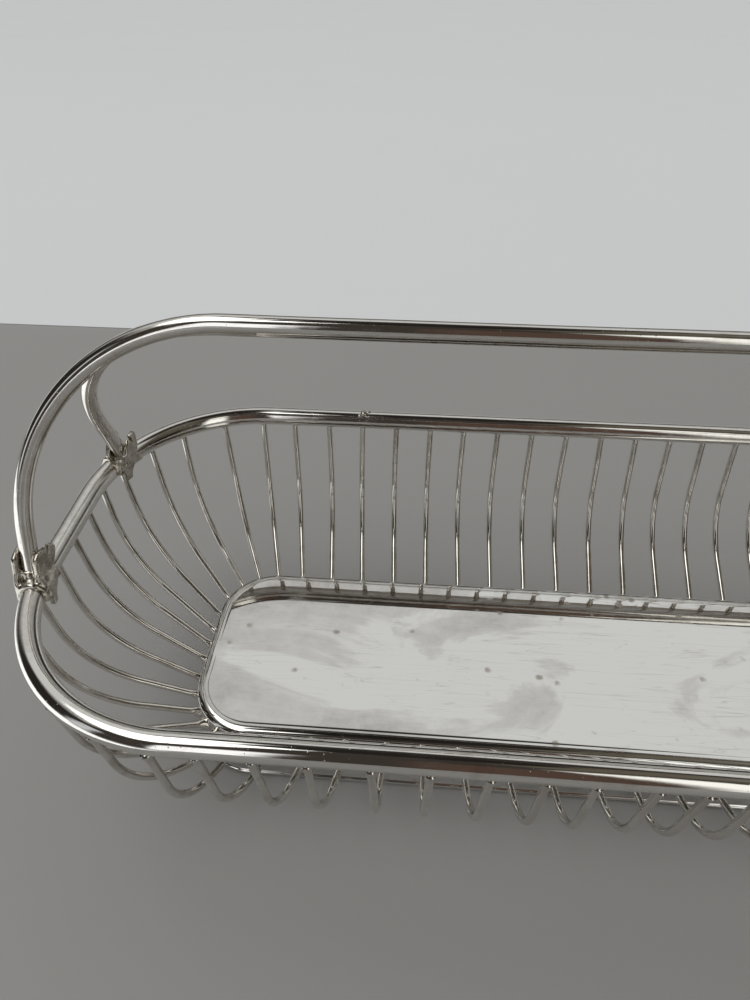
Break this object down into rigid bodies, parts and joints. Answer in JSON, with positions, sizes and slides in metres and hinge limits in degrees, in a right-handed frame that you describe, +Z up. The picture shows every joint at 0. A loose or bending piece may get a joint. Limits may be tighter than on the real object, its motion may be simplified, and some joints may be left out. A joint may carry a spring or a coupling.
{
  "type": "letter tray",
  "caption": "Long oval wire basket on a raised plated pan, with a tube rim, bent side wires and a double hoop carry handle.",
  "frame": {"origin": "middle of the footprint on the surface the tray stands on", "axes": "+X to the right along the length, +Y to the back, +Z up"},
  "size_m": [0.3556, 0.133, 0.1325],
  "materials": {
    "silver_tube": "polished silver plate, lightly tarnished",
    "silver_wire": "polished silver plate, brownish in the shade side",
    "silver_pan": "mirror polish with haze, fine scratches and spots",
    "cast_tie": "plated casting, pitted and tarnished",
    "solder": "dull solder"
  },
  "bodies": {
    "root": {"rim_tube": "silver_tube", "rim_seam_solder": "solder", "front_hoop": "silver_tube", "back_hoop": "silver_tube", "tie_front_left": "cast_tie", "tie_back_left": "cast_tie", "tie_front_right": "cast_tie", "tie_back_right": "cast_tie", "pan_top": "silver_pan", "pan_wall": "silver_pan", "front_ribs_1": "silver_wire", "front_ribs_2": "silver_wire", "front_ribs_3": "silver_wire", "front_ribs_4": "silver_wire", "front_ribs_5": "silver_wire", "back_ribs_1": "silver_wire", "back_ribs_2": "silver_wire", "back_ribs_3": "silver_wire", "back_ribs_4": "silver_wire", "back_ribs_5": "silver_wire", "left_back_corner_ribs": "silver_wire", "left_end_ribs": "silver_wire", "left_front_corner_ribs": "silver_wire", "right_back_corner_ribs": "silver_wire", "right_end_ribs": "silver_wire", "right_front_corner_ribs": "silver_wire"}
  },
  "joints": []
}
